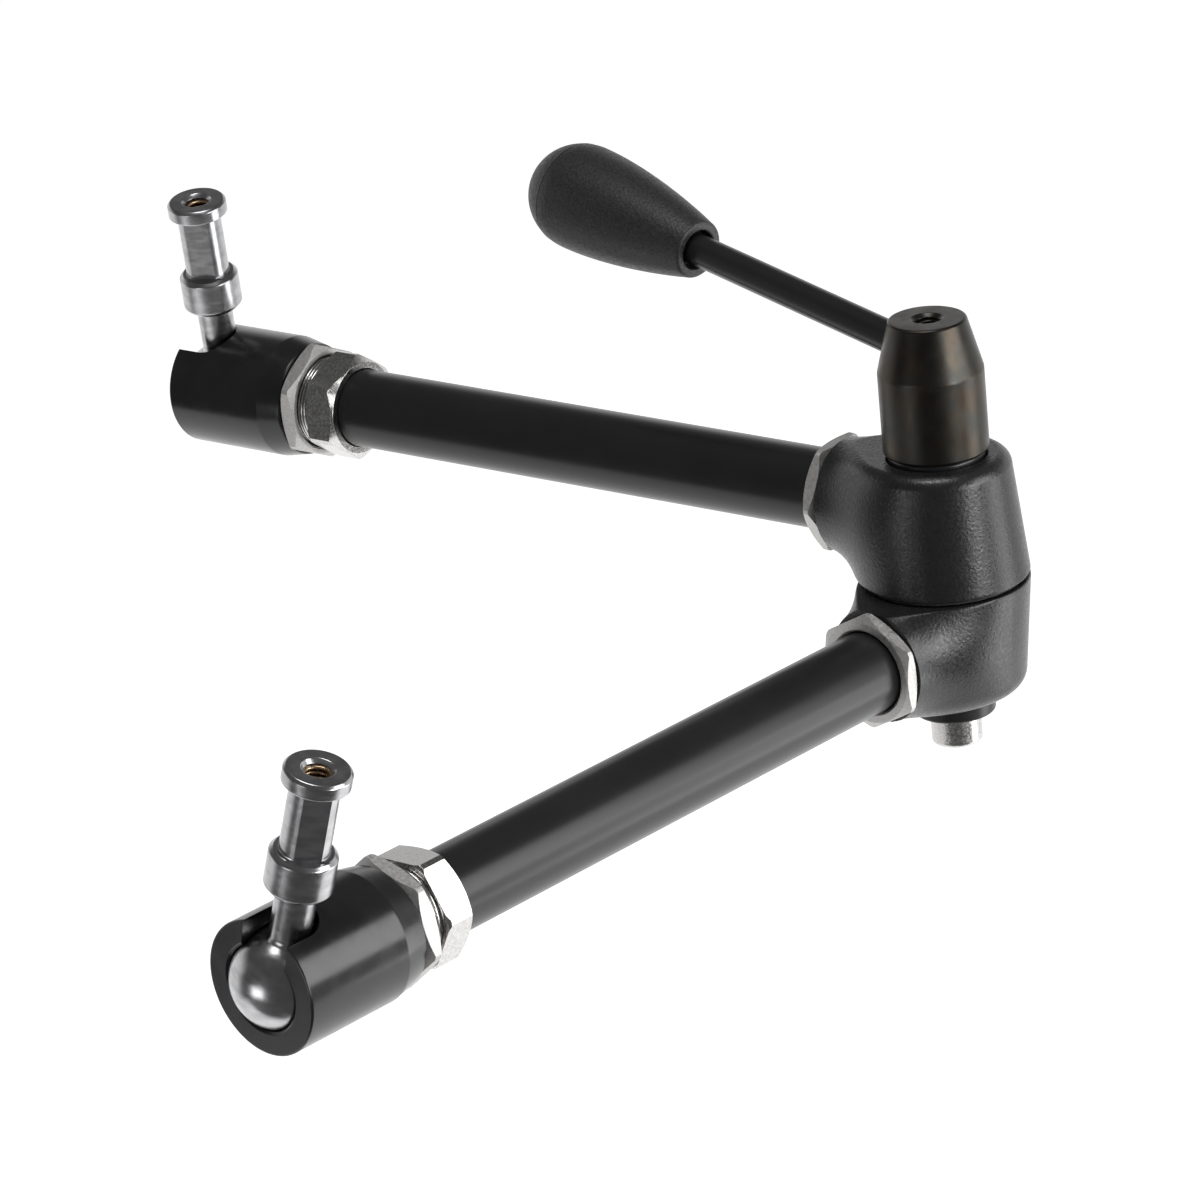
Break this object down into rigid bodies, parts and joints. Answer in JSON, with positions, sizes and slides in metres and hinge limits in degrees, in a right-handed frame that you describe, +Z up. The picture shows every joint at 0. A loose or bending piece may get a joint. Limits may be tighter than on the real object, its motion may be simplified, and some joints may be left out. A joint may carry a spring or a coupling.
{
  "type": "articulating friction arm",
  "caption": "Black articulating friction arm: two tubes on a cast elbow with a central lock lever, and a ball-jointed 16 mm spigot in a slotted socket at each end.",
  "frame": {"origin": "middle of the groove of the lower spigot, on its axis, where a clamp or socket holds the arm", "axes": "+Z up along the elbow's axis, towards the lever's hub; +Y from the lower arm's end towards the upper arm's end; the arms open towards -X"},
  "size_m": [0.2122, 0.3519, 0.1366],
  "materials": {
    "black_casting": "black powder coat with a fine pebble",
    "black_tube": "smooth satin black",
    "black_socket": "satin black, slightly glossier than the castings",
    "black_plastic": "fine-grained black plastic",
    "nickel": "bright nickel plate",
    "turned_steel": "turned and plated steel with fine lathe marks",
    "blackened_steel": "oil-blackened steel, smooth",
    "hidden_steel": "plain steel",
    "washer_fibre": "dark brown fibre"
  },
  "bodies": {
    "clamp_stud": {"lower_ball_stud": "turned_steel"},
    "lower_arm": {"lower_ball_socket": "black_socket", "lower_jam_nut": "nickel", "lower_end_fitting": "nickel", "lower_tube": "black_tube", "lower_tube_locknut": "nickel", "lower_housing": "black_casting", "friction_washer": "washer_fibre", "return_spring": "hidden_steel"},
    "lower_pusher": {"lower_push_rod": "hidden_steel", "lower_pressure_cup": "hidden_steel"},
    "tie": {"spindle": "nickel", "lower_wedge": "blackened_steel"},
    "thrust": {"upper_wedge": "blackened_steel"},
    "lever": {"lever_hub": "blackened_steel", "lever_rod": "black_tube", "lever_grip": "black_plastic"},
    "upper_arm": {"upper_housing": "black_casting", "upper_tube_locknut": "nickel", "upper_tube": "black_tube", "upper_end_fitting": "nickel", "upper_jam_nut": "nickel", "upper_ball_socket": "black_socket"},
    "upper_pusher": {"upper_push_rod": "hidden_steel", "upper_pressure_cup": "hidden_steel"},
    "head_stud": {"upper_ball_stud": "turned_steel"}
  },
  "joints": [
    {"name": "lower_ball_tilt", "type": "hinge", "parent": "clamp_stud", "child": "lower_arm", "pos_m": [-0.01073, 0.00794, -0.04203], "axis": [-0.6503, 0.7172, 0.2504], "range_deg": [0, 124]},
    {"name": "elbow", "type": "hinge", "parent": "lower_arm", "child": "upper_arm", "pos_m": [0.1644, 0.16674, -0.02663], "axis": [0, 0, 1], "range_deg": [-263, 78]},
    {"name": "upper_ball_tilt", "type": "hinge", "parent": "upper_arm", "child": "head_stud", "pos_m": [-0.01073, 0.32553, -0.00948], "axis": [-0.6503, -0.7172, -0.2504], "range_deg": [0, 124]},
    {"name": "lever_turn", "type": "hinge", "parent": "thrust", "child": "lever", "pos_m": [0.1644, 0.16674, 0.03137], "axis": [0, 0, -1], "range_deg": [0, 120]},
    {"name": "thrust_slide", "type": "slide", "parent": "lower_arm", "child": "thrust", "axis": [0, 0, -1], "range_m": [0, 0.0005], "deforming": ["return_spring"]},
    {"name": "tie_slide", "type": "slide", "parent": "lower_arm", "child": "tie", "axis": [0, 0, 1], "range_m": [0, 0.0005]},
    {"name": "lower_push_slide", "type": "slide", "parent": "lower_arm", "child": "lower_pusher", "axis": [-0.7408, -0.6717, 0], "range_m": [0, 0.00025]},
    {"name": "upper_push_slide", "type": "slide", "parent": "upper_arm", "child": "upper_pusher", "axis": [-0.7408, 0.6717, 0], "range_m": [0, 0.00025]}
  ],
  "couplings": [
    {"joint": "thrust_slide", "follows": "lever_turn", "m_per_rad": 0.0002386},
    {"joint": "tie_slide", "follows": "lever_turn", "m_per_rad": 0.0002386},
    {"joint": "lower_push_slide", "follows": "lever_turn", "m_per_rad": 0.0001193},
    {"joint": "upper_push_slide", "follows": "lever_turn", "m_per_rad": 0.0001193}
  ]
}
